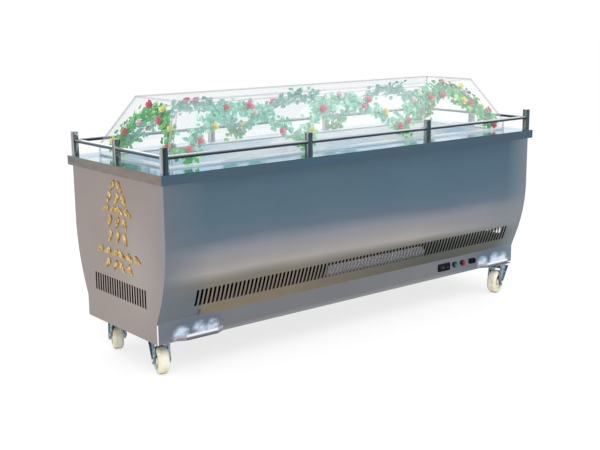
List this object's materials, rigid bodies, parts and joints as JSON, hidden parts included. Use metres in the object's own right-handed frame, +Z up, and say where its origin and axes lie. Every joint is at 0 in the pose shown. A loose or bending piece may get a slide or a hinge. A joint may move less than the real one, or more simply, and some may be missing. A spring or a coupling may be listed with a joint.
{
  "type": "refrigerated display casket",
  "caption": "Stainless-steel display casket on castors, with a guard rail round its deck and a clear double-walled cover that lifts off.",
  "frame": {"origin": "on the floor, under the middle of the deck", "axes": "+X along the length towards the end with the controls, -Y out of the front with the controls, +Z up"},
  "size_m": [2.3, 0.812, 1.166],
  "materials": {
    "cabinet_steel": "satin stainless sheet, nearly mirror-like",
    "deck_steel": "polished stainless sheet",
    "baffle_steel": "plain sheet",
    "chamber_steel": "satin stainless sheet",
    "post_steel": "polished square tube",
    "rail_steel": "polished round tube",
    "clear_acrylic": "clear cast acrylic",
    "gold_leaf": "polished gold-coloured sheet",
    "black_plastic": "moulded black plastic",
    "green_lens": "tinted clear lens",
    "red_lens": "tinted clear lens",
    "bracket_steel": "satin stainless",
    "castor_zinc": "zinc plated pressed steel",
    "silk_leaf": "green artificial leaves and stems, sealed in the cover",
    "silk_petal": "artificial rose petals, sealed in the cover",
    "castor_tyre": "cream polyurethane tread on a cast wheel"
  },
  "bodies": {
    "cabinet": {"front_panel": "cabinet_steel", "back_panel": "cabinet_steel", "left_end_panel": "cabinet_steel", "right_end_panel": "cabinet_steel", "deck": "deck_steel", "base_plate": "cabinet_steel", "grille_baffle": "baffle_steel", "chamber_tub": "chamber_steel", "post_front_left": "post_steel", "post_front_mid_left": "post_steel", "post_front_mid_right": "post_steel", "post_front_right": "post_steel", "post_back_left": "post_steel", "post_back_mid_left": "post_steel", "post_back_mid_right": "post_steel", "post_back_right": "post_steel", "post_end_left": "post_steel", "post_end_right": "post_steel", "rail_front": "rail_steel", "rail_back": "rail_steel", "rail_left": "rail_steel", "rail_right": "rail_steel", "cover_outer_front": "clear_acrylic", "cover_outer_back": "clear_acrylic", "cover_outer_left": "clear_acrylic", "cover_outer_right": "clear_acrylic", "cover_outer_top": "clear_acrylic", "cover_inner_front": "clear_acrylic", "cover_inner_back": "clear_acrylic", "cover_inner_left": "clear_acrylic", "cover_inner_right": "clear_acrylic", "cover_inner_top": "clear_acrylic", "cover_foot": "clear_acrylic", "gold_strokes": "gold_leaf", "display": "black_plastic", "green_lamp": "green_lens", "red_lamp": "red_lens", "power_inlet": "black_plastic", "bracket_front_left": "bracket_steel", "bracket_front_right": "bracket_steel", "bracket_back_left": "bracket_steel", "bracket_back_right": "bracket_steel", "castor_front_left_plate": "castor_zinc", "castor_back_left_plate": "castor_zinc", "castor_front_right_plate": "castor_zinc", "castor_back_right_plate": "castor_zinc"},
    "swivel_front_left": {"castor_front_left_fork": "castor_zinc", "castor_front_left_axle": "castor_zinc"},
    "wheel_front_left": {"castor_front_left_wheel": "castor_tyre"},
    "swivel_back_left": {"castor_back_left_fork": "castor_zinc", "castor_back_left_axle": "castor_zinc"},
    "wheel_back_left": {"castor_back_left_wheel": "castor_tyre"},
    "swivel_front_right": {"castor_front_right_fork": "castor_zinc", "castor_front_right_axle": "castor_zinc"},
    "wheel_front_right": {"castor_front_right_wheel": "castor_tyre"},
    "swivel_back_right": {"castor_back_right_fork": "castor_zinc", "castor_back_right_axle": "castor_zinc"},
    "wheel_back_right": {"castor_back_right_wheel": "castor_tyre"}
  },
  "joints": [
    {"name": "swivel_front_left_turn", "type": "hinge", "parent": "cabinet", "child": "swivel_front_left", "pos_m": [-1.057, -0.18, 0.14], "axis": [0, 0, 1], "continuous": true},
    {"name": "wheel_front_left_roll", "type": "hinge", "parent": "swivel_front_left", "child": "wheel_front_left", "pos_m": [-1.06753, -0.21443, 0.0625], "axis": [0.9563, -0.2924, 0], "continuous": true},
    {"name": "swivel_back_left_turn", "type": "hinge", "parent": "cabinet", "child": "swivel_back_left", "pos_m": [-1.057, 0.18, 0.14], "axis": [0, 0, 1], "continuous": true},
    {"name": "wheel_back_left_roll", "type": "hinge", "parent": "swivel_back_left", "child": "wheel_back_left", "pos_m": [-1.04351, 0.21338, 0.0625], "axis": [-0.9272, 0.3746, 0], "continuous": true},
    {"name": "swivel_front_right_turn", "type": "hinge", "parent": "cabinet", "child": "swivel_front_right", "pos_m": [1.051, -0.284, 0.14], "axis": [0, 0, 1], "continuous": true},
    {"name": "wheel_front_right_roll", "type": "hinge", "parent": "swivel_front_right", "child": "wheel_front_right", "pos_m": [1.01623, -0.29332, 0.0625], "axis": [0.2588, -0.9659, 0], "continuous": true},
    {"name": "swivel_back_right_turn", "type": "hinge", "parent": "cabinet", "child": "swivel_back_right", "pos_m": [1.051, 0.284, 0.14], "axis": [0, 0, 1], "continuous": true},
    {"name": "wheel_back_right_roll", "type": "hinge", "parent": "swivel_back_right", "child": "wheel_back_right", "pos_m": [1.01837, 0.26879, 0.0625], "axis": [0.4226, -0.9063, 0], "continuous": true}
  ]
}
